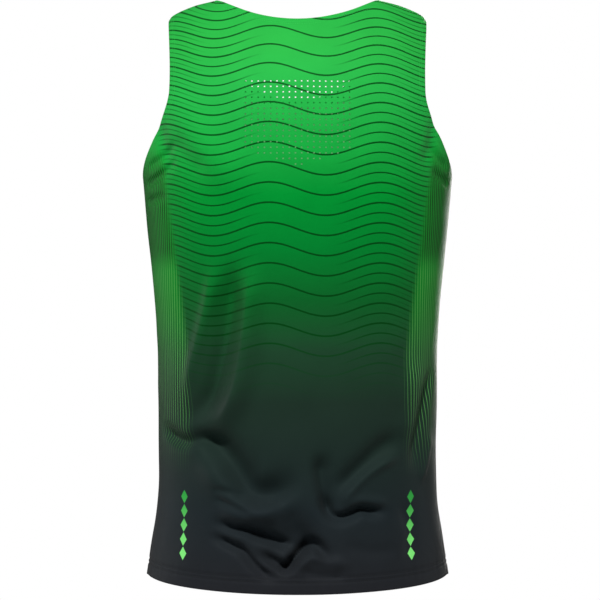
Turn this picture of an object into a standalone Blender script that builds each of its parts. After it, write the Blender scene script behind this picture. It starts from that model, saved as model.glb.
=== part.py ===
# A men's sleeveless running shirt, filled out as it is worn, hollow and open at the neck, hem and armholes.
# Metres, +Z up. The back faces -Y, and the origin lies midway between the high points of the two shoulders.
# Each panel is one wall of cloth. Its outer face is a grid of columns, counted from side seam to side seam,
# and rows, counted from the hem to the underarm and on to the top edge.

import math
from collections import namedtuple

import bmesh
import bpy
from mathutils import Vector

OBJECT_NAME = "sleeveless_running_shirt"

# The cut
BACK_LENGTH = 0.692           # high point of the shoulder to the hem
HEM_DIP = 0.012               # the hem is this much lower at centre front and back than at the sides
UNDERARM_HEIGHT = -0.215
NECK_HALF_WIDTH = 0.098
SHOULDER_TIP_DROP = 0.024     # the slope of the shoulder seam, from the neck to the armhole
ARMHOLE_CURVE = 0.53          # the share of the armhole's height over which its edge runs in under the arm
HEM_SEAM_ANGLE = 78           # degrees from centre back, because the front panel wraps round the side
UNDERARM_SEAM_ANGLE = 90

# The cloth
WALL = 0.0015
TURNING = 0.0008              # extra wall where an edge is turned in and stitched down
SEAM_GAP = 0.0003
HEM_TURNING_ROWS = 3

# The grid of one panel
COLUMNS = 32
NECK_COLUMNS = 18             # the middle columns end at the neckline, the others at the shoulder seams
BODY_ROWS = 28
YOKE_ROWS = 12
LOW_ROWS_CLOSER = 1.25        # above 1 sets the body's rows closer together towards the hem
ROWS_CLOSER_BELOW = 0.65      # from 0 to 1, sets the yoke's rows closer together towards the underarm too

FACING = {"back": -1, "front": 1}

# A row for each level ring of the figure. Heights are measured from the shoulder's high point. The rings end
# in the slope of the shoulders. A roundness of 1 gives an ellipse, and less gives a squarer ring.
Section = namedtuple("Section", "height half_width back_depth front_depth roundness")
SECTIONS = (
    Section(-0.696, 0.1820, 0.121, 0.112, 0.87),
    Section(-0.640, 0.1730, 0.116, 0.109, 0.87),
    Section(-0.590, 0.1660, 0.111, 0.106, 0.87),
    Section(-0.540, 0.1650, 0.107, 0.105, 0.87),
    Section(-0.470, 0.1660, 0.103, 0.106, 0.87),
    Section(-0.400, 0.1670, 0.105, 0.110, 0.87),
    Section(-0.330, 0.1725, 0.111, 0.116, 0.87),
    Section(-0.270, 0.1790, 0.116, 0.121, 0.87),
    Section(-0.215, 0.1840, 0.119, 0.123, 0.87),
    Section(-0.180, 0.1875, 0.119, 0.121, 0.87),
    Section(-0.150, 0.1885, 0.117, 0.115, 0.87),
    Section(-0.120, 0.1870, 0.111, 0.103, 0.88),
    Section(-0.090, 0.1820, 0.101, 0.088, 0.92),
    Section(-0.060, 0.1730, 0.086, 0.073, 0.97),
    Section(-0.040, 0.1640, 0.073, 0.063, 1.02),
    Section(-0.025, 0.1540, 0.063, 0.055, 1.05),
    Section(-0.017, 0.1470, 0.057, 0.051, 1.07),
    Section(-0.006, 0.1220, 0.050, 0.047, 1.10),
    Section(0.000, 0.0980, 0.044, 0.042, 1.12),
    Section(0.010, 0.0600, 0.036, 0.035, 1.12),
)

# What differs between the two panels above the underarm. Halfway up, the armhole's edge swings in towards the
# neck by the swing. A lower squareness gives a squarer neckline.
Yoke = namedtuple("Yoke", "neck_drop neck_squareness swing")
YOKES = {
    "back": Yoke(neck_drop=0.030, neck_squareness=1.0, swing=0.0055),
    "front": Yoke(neck_drop=0.108, neck_squareness=0.65, swing=0.015),
}

# A row for each fold: a bowed line from one place to another, in degrees round the ring from the middle of
# its panel towards +X and metres of height. Depth is negative for a trough and positive for a ridge.
Fold = namedtuple("Fold", "from_angle from_height to_angle to_height bow width depth")
FOLDS = {
    "back": (
        Fold(-31, -0.322, -48, -0.496, -0.021, 0.013, 0.0050),    # outer ridge down the left side
        Fold(-17, -0.345, -46, -0.507, 0.018, 0.014, 0.0050),     # inner ridge beside it
        Fold(-24, -0.340, -48, -0.507, 0.006, 0.011, -0.0060),    # the deep valley between the two
        Fold(-57, -0.512, -13, -0.558, 0.022, 0.012, -0.0055),    # valley across the small of the back
        Fold(-46, -0.530, -6, -0.589, -0.008, 0.014, 0.0050),     # ridge under that valley
        Fold(-6, -0.589, 0, -0.560, -0.003, 0.010, 0.0040),
        Fold(-20, -0.534, -2, -0.558, -0.015, 0.011, -0.0040),
        Fold(-32, -0.609, -3, -0.617, -0.003, 0.010, -0.0035),    # low creases left of the middle
        Fold(-33, -0.624, -6, -0.672, 0.010, 0.011, -0.0040),
        Fold(-14, -0.641, 3, -0.628, -0.012, 0.009, -0.0035),
        Fold(3, -0.628, 17, -0.667, 0.006, 0.010, -0.0030),
        Fold(7, -0.540, 11, -0.602, -0.004, 0.011, -0.0045),      # hooked valley right of the middle
        Fold(11, -0.602, 32, -0.600, -0.003, 0.010, -0.0045),
        Fold(15, -0.588, 35, -0.589, 0.002, 0.010, 0.0040),
        Fold(22, -0.543, 48, -0.515, 0.009, 0.011, -0.0045),      # crescent at the right of the waist
        Fold(16, -0.583, 52, -0.518, 0.010, 0.011, 0.0035),
        Fold(68, -0.400, 59, -0.522, 0.004, 0.012, -0.0045),      # upright folds at the right side
        Fold(55, -0.400, 52, -0.515, 0.002, 0.012, 0.0035),
        Fold(-40, -0.229, -16, -0.197, 0.004, 0.016, 0.0040),     # over the left shoulder blade
        Fold(-55, -0.150, -50, -0.205, 0.003, 0.010, -0.0030),    # drag lines from the armholes
        Fold(55, -0.146, 50, -0.205, -0.003, 0.010, -0.0030),
    ),
    "front": (
        Fold(30, -0.335, 47, -0.480, 0.015, 0.013, 0.0045),
        Fold(21, -0.350, 46, -0.505, -0.012, 0.012, -0.0050),
        Fold(56, -0.515, 12, -0.552, -0.018, 0.012, -0.0050),
        Fold(45, -0.532, 8, -0.580, 0.006, 0.013, 0.0045),
        Fold(-58, -0.420, -53, -0.530, 0.004, 0.012, -0.0045),
        Fold(-14, -0.548, -44, -0.525, -0.009, 0.012, -0.0045),
        Fold(-10, -0.580, -40, -0.556, -0.008, 0.012, 0.0040),
        Fold(-28, -0.618, 4, -0.640, -0.006, 0.011, -0.0035),
        Fold(10, -0.622, 34, -0.652, 0.008, 0.011, -0.0035),
        Fold(-44, -0.232, -18, -0.262, 0.006, 0.014, -0.0035),    # drag lines from the armholes
        Fold(46, -0.226, 20, -0.252, -0.006, 0.014, -0.0035),
        Fold(-52, -0.205, -24, -0.238, 0.005, 0.013, 0.0030),
    ),
}
ARC_PER_DEGREE = 0.0024       # cloth round the ring for each degree, used to measure a fold's distance
FOLD_TAPER = 0.22             # the share of a fold's length over which it fades in and out

COLOURS = {
    "back": (0.012, 0.235, 0.042, 1.0),
    "front": (0.010, 0.205, 0.038, 1.0),
}


def mix(low, high, share):
    return low + (high - low) * share


def smooth_step(share):
    share = min(max(share, 0.0), 1.0)
    return share * share * (3 - 2 * share)


def power(value, exponent):
    """A power that keeps the sign of its base."""
    return math.copysign(abs(value) ** exponent, value)


def section_at(height):
    """The ring at a height, on a smooth curve through the table's rows."""
    rows = SECTIONS
    index = 0
    while index < len(rows) - 2 and height > rows[index + 1].height:
        index += 1
    low, high = rows[index], rows[index + 1]
    before, after = rows[max(index - 1, 0)], rows[min(index + 2, len(rows) - 1)]
    span = high.height - low.height
    share = min(max((height - low.height) / span, 0.0), 1.0)
    sizes = []
    for start, end, last, following in zip(low[1:], high[1:], before[1:], after[1:]):
        start_slope = (end - last) / (high.height - before.height)
        end_slope = (following - start) / (after.height - low.height)
        bend_in = span * start_slope * share * (1 - share) ** 2
        bend_out = span * end_slope * share ** 2 * (1 - share)
        sizes.append(mix(start, end, smooth_step(share)) + bend_in - bend_out)
    return Section(height, *sizes)


def ring_point(side, angle, height):
    """A point of the ring at a height, at an angle from the middle of its panel towards +X."""
    ring = section_at(height)
    if side == "front":
        angle = math.pi - angle
    depth = ring.back_depth if math.cos(angle) > 0 else ring.front_depth
    x = ring.half_width * power(math.sin(angle), ring.roundness)
    y = -depth * power(math.cos(angle), ring.roundness)
    return Vector((x, y, height))


def seam_angle(side, height):
    """Half of the angle that a panel takes up, from its middle to the side seam."""
    share = (height + BACK_LENGTH) / (UNDERARM_HEIGHT + BACK_LENGTH)
    back_angle = math.radians(mix(HEM_SEAM_ANGLE, UNDERARM_SEAM_ANGLE, min(max(share, 0.0), 1.0)))
    return back_angle if side == "back" else math.pi - back_angle


def body_point(side, across, share):
    """A point between the hem, share 0, and the underarm, share 1."""
    hem_height = -BACK_LENGTH + HEM_DIP * across ** 2
    height = mix(hem_height, UNDERARM_HEIGHT, share ** LOW_ROWS_CLOSER)
    return ring_point(side, across * seam_angle(side, height), height)


def top_edge(side, across):
    """How far out and how high a column ends, at the neckline or, beyond it, at the shoulder seam."""
    yoke = YOKES[side]
    neck_share = NECK_COLUMNS / COLUMNS
    if abs(across) >= neck_share:
        height = -SHOULDER_TIP_DROP * (abs(across) - neck_share) / (1 - neck_share)
        return math.copysign(section_at(height).half_width, across), height
    turn = 0.5 * math.pi * abs(across) / neck_share
    out = NECK_HALF_WIDTH * math.sin(turn) ** yoke.neck_squareness
    return math.copysign(out, across), -yoke.neck_drop * math.cos(turn) ** (2 * yoke.neck_squareness)


def yoke_point(side, across, share):
    """A point above the underarm: share 0 is the underarm's ring and 1 the neckline or shoulder seam."""
    start = ring_point(side, across * seam_angle(side, UNDERARM_HEIGHT), UNDERARM_HEIGHT)
    top_out, top_height = top_edge(side, across)
    rise = mix(math.sin(0.5 * math.pi * share), 0.5 - 0.5 * math.cos(math.pi * share), ROWS_CLOSER_BELOW)
    height = mix(UNDERARM_HEIGHT, top_height, rise)
    outer = across ** 4
    inward = mix(rise ** 1.3, smooth_step(rise / ARMHOLE_CURVE), outer)
    out = mix(start.x, top_out, inward)
    out -= math.copysign(YOKES[side].swing * outer * math.sin(math.pi * rise), across)
    ring = section_at(height)
    turn = math.asin(min(abs(out) / ring.half_width, 1.0) ** (1 / ring.roundness))
    return ring_point(side, math.copysign(turn, out), height)


def surface_point(side, column, row):
    """The cloth's outer face before its folds."""
    across = 2 * column / COLUMNS - 1
    if row <= BODY_ROWS:
        return body_point(side, across, row / BODY_ROWS)
    return yoke_point(side, across, (row - BODY_ROWS) / YOKE_ROWS)


def is_side_seam(column, row):
    return column in (0, COLUMNS) and row <= BODY_ROWS


def is_shoulder_seam(column, row):
    from_middle = abs(column - COLUMNS / 2)
    return row == BODY_ROWS + YOKE_ROWS and from_middle >= NECK_COLUMNS / 2


def neighbour(points, side, column, row, step_column, step_row):
    """The next grid point, found across a seam on the other panel, or the same point at a free edge."""
    other = "front" if side == "back" else "back"
    next_column = column + step_column
    next_row = row + step_row
    if next_row > BODY_ROWS + YOKE_ROWS:
        return points[other][column, row - 1] if is_shoulder_seam(column, row) else points[side][column, row]
    if not 0 <= next_column <= COLUMNS:
        inner = column - step_column
        return points[other][inner, row] if is_side_seam(column, row) else points[side][column, row]
    return points[side][next_column, max(next_row, 0)]


def outward_normals(points):
    """The direction out of the cloth at every grid point, the same for both panels along their seams."""
    normals = {}
    for side, grid in points.items():
        normals[side] = {}
        for column, row in grid:
            left, right = (neighbour(points, side, column, row, step, 0) for step in (-1, 1))
            below, above = (neighbour(points, side, column, row, 0, step) for step in (-1, 1))
            normals[side][column, row] = -FACING[side] * (right - left).cross(above - below).normalized()
    for column, row in points["back"]:
        if is_side_seam(column, row) or is_shoulder_seam(column, row):
            shared = (normals["back"][column, row] + normals["front"][column, row]).normalized()
            normals["back"][column, row] = shared
            normals["front"][column, row] = shared
    return normals


def fold_height(fold, around, height):
    """How far one fold lifts the cloth at a place, from its distance to the fold's bowed line."""
    start = Vector((fold.from_angle * ARC_PER_DEGREE, fold.from_height))
    end = Vector((fold.to_angle * ARC_PER_DEGREE, fold.to_height))
    line = end - start
    place = Vector((around, height)) - start
    along = place.dot(line) / line.length_squared
    if not -FOLD_TAPER < along < 1 + FOLD_TAPER:
        return 0.0
    sideways = place.cross(line) / line.length
    bowed = -fold.bow * 4 * along * (1 - along) * math.copysign(1, line.x)
    away = (sideways - bowed) / fold.width
    ends = smooth_step((along + FOLD_TAPER) / (2 * FOLD_TAPER))
    ends *= smooth_step((1 + FOLD_TAPER - along) / (2 * FOLD_TAPER))
    return fold.depth * ends * math.exp(-away * away)


def outer_face():
    """Both panels' outer grid points, folded, and the directions out of them."""
    places = [(column, row) for column in range(COLUMNS + 1) for row in range(BODY_ROWS + YOKE_ROWS + 1)]
    points = {side: {place: surface_point(side, *place) for place in places} for side in FOLDS}
    plain_normals = outward_normals(points)
    for side, folds in FOLDS.items():
        for column, row in places:
            point = points[side][column, row]
            if is_side_seam(column, row) or is_shoulder_seam(column, row):
                continue
            across = 2 * column / COLUMNS - 1
            angle = math.degrees(across * seam_angle(side, point.z))
            lift = sum(fold_height(fold, angle * ARC_PER_DEGREE, point.z) for fold in folds)
            point += plain_normals[side][column, row] * lift
    return points, outward_normals(points)


def seam_shift(points, side, column, row):
    """Half of the gap at a seam, into the panel."""
    if is_shoulder_seam(column, row):
        inner = points[side][column, row - 1]
    elif is_side_seam(column, row):
        inner = points[side][abs(column - 1), row]
    else:
        return Vector()
    return (inner - points[side][column, row]).normalized() * SEAM_GAP / 2


def wall_at(column, row):
    """The wall's thickness, with a turned-in edge at the hem, the neck and the armholes."""
    at_hem = row < HEM_TURNING_ROWS
    at_top = row >= BODY_ROWS + YOKE_ROWS - 1 and not is_shoulder_seam(column, row)
    at_armhole = row > BODY_ROWS and column in (0, COLUMNS)
    return WALL + TURNING if at_hem or at_top or at_armhole else WALL


def cloth_material(side):
    material = bpy.data.materials.new(f"polyester_knit_{side}")
    material.use_nodes = True
    shader = material.node_tree.nodes["Principled BSDF"]
    shader.inputs["Base Color"].default_value = COLOURS[side]
    shader.inputs["Roughness"].default_value = 0.7
    shader.inputs["Metallic"].default_value = 0.0
    return material


def make_panel(side, points, normals, collection):
    """One panel: a flat grid, given a second layer behind it, then drawn out over the figure."""
    bm = bmesh.new()
    rows = BODY_ROWS + YOKE_ROWS
    bmesh.ops.create_grid(bm, x_segments=COLUMNS, y_segments=rows, size=1.0)
    extruded = bmesh.ops.extrude_face_region(bm, geom=bm.faces[:], use_keep_orig=True)
    inner_layer = {item for item in extruded["geom"] if isinstance(item, bmesh.types.BMVert)}
    for vert in bm.verts:
        column = round((vert.co.x + 1) / 2 * COLUMNS)
        row = round((vert.co.y + 1) / 2 * rows)
        place = points[side][column, row] + seam_shift(points, side, column, row)
        if vert in inner_layer:
            place = place - normals[side][column, row] * wall_at(column, row)
        vert.co = place
    bmesh.ops.recalc_face_normals(bm, faces=bm.faces[:])
    mesh = bpy.data.meshes.new(f"{side}_panel")
    bm.to_mesh(mesh)
    bm.free()
    mesh.shade_smooth()
    mesh.set_sharp_from_angle(angle=math.radians(50))
    mesh.materials.append(cloth_material(side))
    panel = bpy.data.objects.new(f"{side}_panel", mesh)
    collection.objects.link(panel)
    return panel


def main():
    for old in list(bpy.data.objects):
        bpy.data.objects.remove(old, do_unlink=True)
    collection = bpy.data.collections.new(OBJECT_NAME)
    bpy.context.scene.collection.children.link(collection)
    points, normals = outer_face()
    for side in YOKES:
        make_panel(side, points, normals, collection)


main()
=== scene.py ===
import math

import bpy
import numpy as np
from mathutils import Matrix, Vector, noise


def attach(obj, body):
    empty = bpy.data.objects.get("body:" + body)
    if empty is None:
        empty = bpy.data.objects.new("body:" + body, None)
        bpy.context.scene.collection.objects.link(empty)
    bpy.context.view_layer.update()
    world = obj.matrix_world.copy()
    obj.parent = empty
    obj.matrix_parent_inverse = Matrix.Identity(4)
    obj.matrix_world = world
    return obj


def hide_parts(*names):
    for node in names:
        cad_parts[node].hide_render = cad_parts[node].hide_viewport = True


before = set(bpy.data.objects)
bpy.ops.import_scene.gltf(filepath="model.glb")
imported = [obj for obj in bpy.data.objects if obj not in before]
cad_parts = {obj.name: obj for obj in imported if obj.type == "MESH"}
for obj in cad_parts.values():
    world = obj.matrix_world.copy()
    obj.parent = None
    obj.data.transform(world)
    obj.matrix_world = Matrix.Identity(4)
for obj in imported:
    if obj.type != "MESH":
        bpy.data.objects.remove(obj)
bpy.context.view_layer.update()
scene = bpy.context.scene

# The shirt hangs in the air as worn: its back faces -Y and the camera, and the shoulders' high points are at
# height 0. All sizes are metres.

camera = {
    "place": (0.003, -2.6, -0.357),   # level with the small of the back
    "pixelsAcross": 600,
    "millimetresPerPixel": 1.193,     # at the middle of the shirt
    "sensor": 36.0,
}
lamps = {
    # name: place, size, watts, colour
    "keyTop": ((-0.16, -2.20, 2.12), 0.40, 150.0, "#fffaf2"),
    "fillLeft": ((-2.4, -1.5, 0.4), 1.4, 13.0, "#f6fbff"),
    "sideLeft": ((-2.6, 0.6, -0.2), 1.5, 11.0, "#fbffff"),
    "sideRight": ((2.7, 0.2, -0.2), 1.5, 8.0, "#fbffff"),
    "frontSide": ((0.8, 2.7, 0.2), 1.6, 58.0, "#fffdf8"),
    "topSoft": ((0.0, 0.1, 1.9), 1.4, 3.0, "#ffffff"),
}
studio = {
    "lampAim": (0, 0, -0.33),         # the middle of the shirt
    "worldForCamera": 1.0,
    "worldForLight": 0.05,
    "floorHeight": -1.40,             # shoulders stand about this far above the floor
    "floorHalfSize": 4.8,
    "floorFade": (2.0, 4.6),          # the board fades into the white round it between these distances
    "boardTones": (0.60, 0.64),       # two near greys in soft clouds
    "boardClouds": 3.0,               # to the metre
    "boardRoughness": 0.9,
}


def linear(hexColour):
    parts = [int(hexColour[start:start + 2], 16) / 255 for start in (1, 3, 5)]
    return [part / 12.92 if part <= 0.04045 else ((part + 0.055) / 1.055) ** 2.4 for part in parts] + [1.0]


# Inputs may be values, sockets, or nodes whose first output in use is linked.
def addNode(tree, kind, inputs=None, **settings):
    made = tree.nodes.new(kind)
    for name, value in settings.items():
        setattr(made, name, value)
    for name, value in (inputs or {}).items():
        if isinstance(value, bpy.types.Node):
            value = next(output for output in value.outputs if output.enabled)
        if isinstance(value, bpy.types.NodeSocket):
            tree.links.new(value, made.inputs[name])
        else:
            made.inputs[name].default_value = value
    return made


def clearSelection():
    if bpy.context.object and bpy.context.object.mode != "OBJECT":
        bpy.ops.object.mode_set(mode="OBJECT")
    bpy.ops.object.select_all(action="DESELECT")


def setCamera():
    distance = -camera["place"][1]
    frameWidth = camera["pixelsAcross"] * camera["millimetresPerPixel"] / 1000
    bpy.ops.object.camera_add(location=camera["place"], rotation=(math.radians(90), 0, 0))
    shot = bpy.context.object
    shot.name = "photoCamera"
    shot.data.sensor_width = camera["sensor"]
    shot.data.lens = camera["sensor"] * distance / frameWidth
    scene.camera = shot


def setLamps():
    for name, (place, size, watts, colour) in lamps.items():
        bpy.ops.object.light_add(type="AREA", location=place)
        lamp = bpy.context.object
        lamp.name = name
        lamp.data.shape = "SQUARE"
        lamp.data.size = size
        lamp.data.energy = watts
        lamp.data.color = linear(colour)[:3]
        way = Vector(studio["lampAim"]) - Vector(place)
        lamp.rotation_euler = way.to_track_quat("-Z", "Y").to_euler()


def setWorld():
    world = bpy.data.worlds.new("whiteStudio")
    world.use_nodes = True
    tree = world.node_tree
    tree.nodes.clear()
    seen = addNode(tree, "ShaderNodeLightPath")
    strength = addNode(tree, "ShaderNodeMapRange", {"Value": seen, "To Min": studio["worldForLight"],
                                                    "To Max": studio["worldForCamera"]})
    glow = addNode(tree, "ShaderNodeBackground", {"Color": linear("#ffffff"), "Strength": strength})
    addNode(tree, "ShaderNodeOutputWorld", {"Surface": glow})
    scene.world = world
    scene.view_settings.view_transform = "Standard"


# Matt painted board: pale and even, so that only the shirt's soft shadow shows on it.
def mattPaintedBoard():
    material = bpy.data.materials.new("mattPaintedBoard")
    material.use_nodes = True
    tree = material.node_tree
    shader = tree.nodes["Principled BSDF"]
    place = addNode(tree, "ShaderNodeTexCoord").outputs["Object"]
    cloudy = addNode(tree, "ShaderNodeTexNoise",
                     {"Vector": place, "Scale": studio["boardClouds"], "Detail": 3.0})
    dark, pale = studio["boardTones"]
    tint = addNode(tree, "ShaderNodeMapRange", {"Value": cloudy, "To Min": dark, "To Max": pale})
    away = addNode(tree, "ShaderNodeVectorMath", {0: place}, operation="LENGTH").outputs["Value"]
    near, far = studio["floorFade"]
    solid = addNode(tree, "ShaderNodeMapRange", {"Value": away, "From Min": near, "From Max": far,
                                                 "To Min": 1.0, "To Max": 0.0},
                    interpolation_type="SMOOTHSTEP")
    tree.links.new(tint.outputs[0], shader.inputs["Base Color"])
    tree.links.new(solid.outputs[0], shader.inputs["Alpha"])
    shader.inputs["Roughness"].default_value = studio["boardRoughness"]
    return material


def layFloor():
    clearSelection()
    bpy.ops.mesh.primitive_plane_add(size=2 * studio["floorHalfSize"],
                                     location=(0, 0, studio["floorHeight"]))
    floor = bpy.context.object
    floor.name = "floor"
    bpy.ops.object.transform_apply(location=True, rotation=True, scale=True)
    floor.data.materials.append(mattPaintedBoard())


clearSelection()
setCamera()
setLamps()
setWorld()
layFloor()
print("camera, lights and floor are set")

figure = {
    "backLength": 0.692,       # from the high points of the shoulders to the hem's middle
    "hemDip": 0.012,           # how much lower the hem is at its middle than at the side seams
    "underarm": -0.215,
    "neckHalfWidth": 0.098,
    "tipDrop": 0.024,          # the slope of the shoulder seam
    "armholeCurve": 0.53,      # the share of its height over which the armhole curves in
    "seamAngles": (78, 90),    # at the hem and at the underarm, in degrees from centre back
    # height, half width, back depth, front depth, roundness
    "sections": (
        (-0.696, 0.1820, 0.121, 0.112, 0.87),
        (-0.640, 0.1730, 0.116, 0.109, 0.87),
        (-0.590, 0.1660, 0.111, 0.106, 0.87),
        (-0.540, 0.1650, 0.107, 0.105, 0.87),
        (-0.470, 0.1660, 0.103, 0.106, 0.87),
        (-0.400, 0.1670, 0.105, 0.110, 0.87),
        (-0.330, 0.1725, 0.111, 0.116, 0.87),
        (-0.270, 0.1790, 0.116, 0.121, 0.87),
        (-0.215, 0.1840, 0.119, 0.123, 0.87),
        (-0.180, 0.1875, 0.119, 0.121, 0.87),
        (-0.150, 0.1885, 0.117, 0.115, 0.87),
        (-0.120, 0.1870, 0.111, 0.103, 0.88),
        (-0.090, 0.1820, 0.101, 0.088, 0.92),
        (-0.060, 0.1730, 0.086, 0.073, 0.97),
        (-0.040, 0.1640, 0.073, 0.063, 1.02),
        (-0.025, 0.1540, 0.063, 0.055, 1.05),
        (-0.017, 0.1470, 0.057, 0.051, 1.07),
        (-0.006, 0.1220, 0.050, 0.047, 1.10),
        (0.000, 0.0980, 0.044, 0.042, 1.12),
        (0.010, 0.0600, 0.036, 0.035, 1.12),
    ),
}
# Above the underarm, rows run level up to levelTop, on the back half a row of vent holes apart, and those
# above them bend to the neckline. Swing is how far the armhole's edge bows in, and a squareness below 1
# widens the bottom of the neckline.
panels = {
    "back": {"sign": -1, "neckDrop": 0.030, "squareness": 1.0, "swing": 0.0055,
             "levelRows": 38, "levelTop": -0.0934, "topRows": 34},
    "front": {"sign": 1, "neckDrop": 0.108, "squareness": 0.65, "swing": 0.015,
              "levelRows": 22, "levelTop": -0.150, "topRows": 50},
}
vents = {
    "columns": 18,
    "columnPitch": 0.0070,
    "rowPitch": 0.0064,
    "gridColumns": 3,          # of the grid, from one column of holes to the next
    "gridRows": 2,             # and from one row to the next
    "middle": 0.0014,          # the block of holes sits this far right of the middle
    "radius": 0.0010,
    "profile": 0.086,          # rounds the bevelled point outwards
    "topHeight": -0.1062,
    "rowsAtSides": 13,
    "rowsAtMiddle": 16,
}
grid = {
    "straightColumns": 55,     # those with the vent holes among them
    "outerColumns": 56,        # from there to each side
    "outerCloser": 0.75,       # below 1 sets the outer columns closer together towards the middle
    "neckHalfColumns": 58,     # columns from the middle to the corner of the neck
    "hemRows": (0, 0.003, 0.006, 0.009, 0.0112, 0.013, 0.0148, 0.0162, 0.018, 0.0198, 0.0225),
    "lowRowPitch": 0.0024,     # among the creases above the hem
    "lowRowsTop": 0.2349,      # above the hem
    "highRowPitch": 0.0037,
}
columnCount = grid["straightColumns"] + 2 * grid["outerColumns"]
halfColumns = columnCount / 2


def mix(low, high, share):
    return low + (high - low) * share


def smoothStep(share):
    share = np.clip(share, 0.0, 1.0)
    return share * share * (3 - 2 * share)


def power(value, exponent):
    return np.sign(value) * np.abs(value) ** exponent


# Half width, back depth, front depth and roundness of the level rings at some heights, on smooth curves.
def ringAt(height):
    rows = np.array(figure["sections"])
    levels = rows[:, 0]
    index = np.clip(np.searchsorted(levels[1:], height), 0, len(rows) - 2)
    low, high = rows[index], rows[index + 1]
    before, after = rows[np.maximum(index - 1, 0)], rows[np.minimum(index + 2, len(rows) - 1)]
    span = (high - low)[..., :1]
    share = np.clip((np.asarray(height)[..., None] - low[..., :1]) / span, 0, 1)
    startSlope = (high - before) / (high - before)[..., :1]
    endSlope = (after - low) / (after - low)[..., :1]
    sizes = mix(low, high, smoothStep(share))
    sizes = sizes + span * startSlope * share * (1 - share) ** 2 - span * endSlope * share ** 2 * (1 - share)
    return np.moveaxis(sizes[..., 1:], -1, 0)


def ringPlace(side, turn, height):
    halfWidth, backDepth, frontDepth, roundness = ringAt(height)
    forward = -np.cos(turn) if side == "back" else np.cos(turn)
    depth = np.where(forward < 0, backDepth, frontDepth)
    out = halfWidth * power(np.sin(turn), roundness)
    return np.stack([out, depth * power(forward, roundness), height], -1)


def turnAt(out, height):
    halfWidth, _, _, roundness = ringAt(height)
    return np.sign(out) * np.arcsin(np.minimum(np.abs(out) / halfWidth, 1.0) ** (1 / roundness))


def seamTurn(side, height):
    share = np.clip((height + figure["backLength"]) / (figure["underarm"] + figure["backLength"]), 0, 1)
    backTurn = np.radians(mix(*figure["seamAngles"], share))
    return backTurn if side == "back" else math.pi - backTurn


# How far out the armhole's edge runs at a height.
def armholeOut(side, height):
    tip = -figure["tipDrop"]
    rise = np.clip((height - figure["underarm"]) / (tip - figure["underarm"]), 0, 1)
    start = ringAt(np.array(figure["underarm"]))[0]
    end = ringAt(np.array(tip))[0]
    swing = panels[side]["swing"] * np.sin(math.pi * rise)
    return mix(start, end, smoothStep(rise / figure["armholeCurve"])) - swing


# Where each column ends: on the neckline, or beyond its corner on the shoulder seam.
def topEdge(side, fromMiddle):
    panel = panels[side]
    outward = np.abs(fromMiddle)
    turn = 0.5 * math.pi * np.minimum(outward / grid["neckHalfColumns"], 1)
    neckOut = figure["neckHalfWidth"] * np.sin(turn) ** panel["squareness"]
    neckHeight = -panel["neckDrop"] * np.cos(turn) ** (2 * panel["squareness"])
    beyond = (outward - grid["neckHalfColumns"]) / (halfColumns - grid["neckHalfColumns"])
    shoulderHeight = -figure["tipDrop"] * np.clip(beyond, 0, 1)
    shoulderOut = ringAt(shoulderHeight)[0]
    atNeck = outward <= grid["neckHalfColumns"]
    out = np.where(atNeck, neckOut, shoulderOut)
    return np.sign(fromMiddle) * out, np.where(atNeck, neckHeight, shoulderHeight)


# The turn of every column at some heights: upright columns in the middle, even ones out to the edge.
def columnTurns(fromMiddle, height, edgeTurn):
    straightHalf = grid["straightColumns"] / 2
    step = vents["columnPitch"] / vents["gridColumns"]
    inner = np.clip(fromMiddle, -straightHalf, straightHalf)
    innerTurn = turnAt(vents["middle"] * (1 - (inner / straightHalf) ** 2) + inner * step, height)
    share = (np.abs(fromMiddle) - straightHalf) / grid["outerColumns"]
    share = share * mix(grid["outerCloser"], 1, share)
    return np.where(share > 0, mix(innerTurn, np.sign(fromMiddle) * edgeTurn, share), innerTurn)


def bodyHeights(fromMiddle):
    bodyLength = figure["backLength"] + figure["underarm"]
    hemRows = grid["hemRows"]
    lowCount = round((grid["lowRowsTop"] - hemRows[-1]) / grid["lowRowPitch"])
    highCount = round((bodyLength - grid["lowRowsTop"]) / grid["highRowPitch"])
    low = np.linspace(hemRows[-1], grid["lowRowsTop"], lowCount + 1)[1:]
    high = np.linspace(grid["lowRowsTop"], bodyLength, highCount + 1)[1:]
    shares = np.concatenate([hemRows, low, high]) / bodyLength
    hem = -figure["backLength"] + figure["hemDip"] * (fromMiddle / halfColumns) ** 2
    return mix(hem[:, None], figure["underarm"], shares)


# The plain outer face of a panel, an array of columns by rows.
def plainPanel(side):
    panel = panels[side]
    fromMiddle = np.arange(columnCount + 1) - halfColumns
    low = bodyHeights(fromMiddle)
    levels = np.linspace(figure["underarm"], panel["levelTop"], panel["levelRows"] + 1)[1:]
    level = np.broadcast_to(levels, (columnCount + 1, len(levels)))
    lowTurns = columnTurns(fromMiddle[:, None], low, seamTurn(side, low))
    levelTurns = columnTurns(fromMiddle[:, None], level, turnAt(armholeOut(side, level), level))
    topOut, topHeight = topEdge(side, fromMiddle)
    shares = (np.arange(panel["topRows"]) + 1) / panel["topRows"]
    top = mix(panel["levelTop"], topHeight[:, None], shares)
    startOut = ringPlace(side, levelTurns[:, -1], level[:, -1])[:, 0]
    startShare = startOut / armholeOut(side, level[:, -1])
    endShare = topOut / armholeOut(side, topHeight)
    out = mix(startShare[:, None], endShare[:, None], shares) * armholeOut(side, top)
    turns = np.concatenate([lowTurns, levelTurns, turnAt(out, top)], 1)
    return ringPlace(side, turns, np.concatenate([low, level, top], 1))


plain = {side: plainPanel(side) for side in panels}
points = dict(plain)
bodyRows = bodyHeights(np.zeros(1)).shape[1] - 1
shoulderColumns = np.abs(np.arange(columnCount + 1) - halfColumns) >= grid["neckHalfColumns"]


def unit(vectors):
    return vectors / np.linalg.norm(vectors, axis=-1, keepdims=True)


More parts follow.
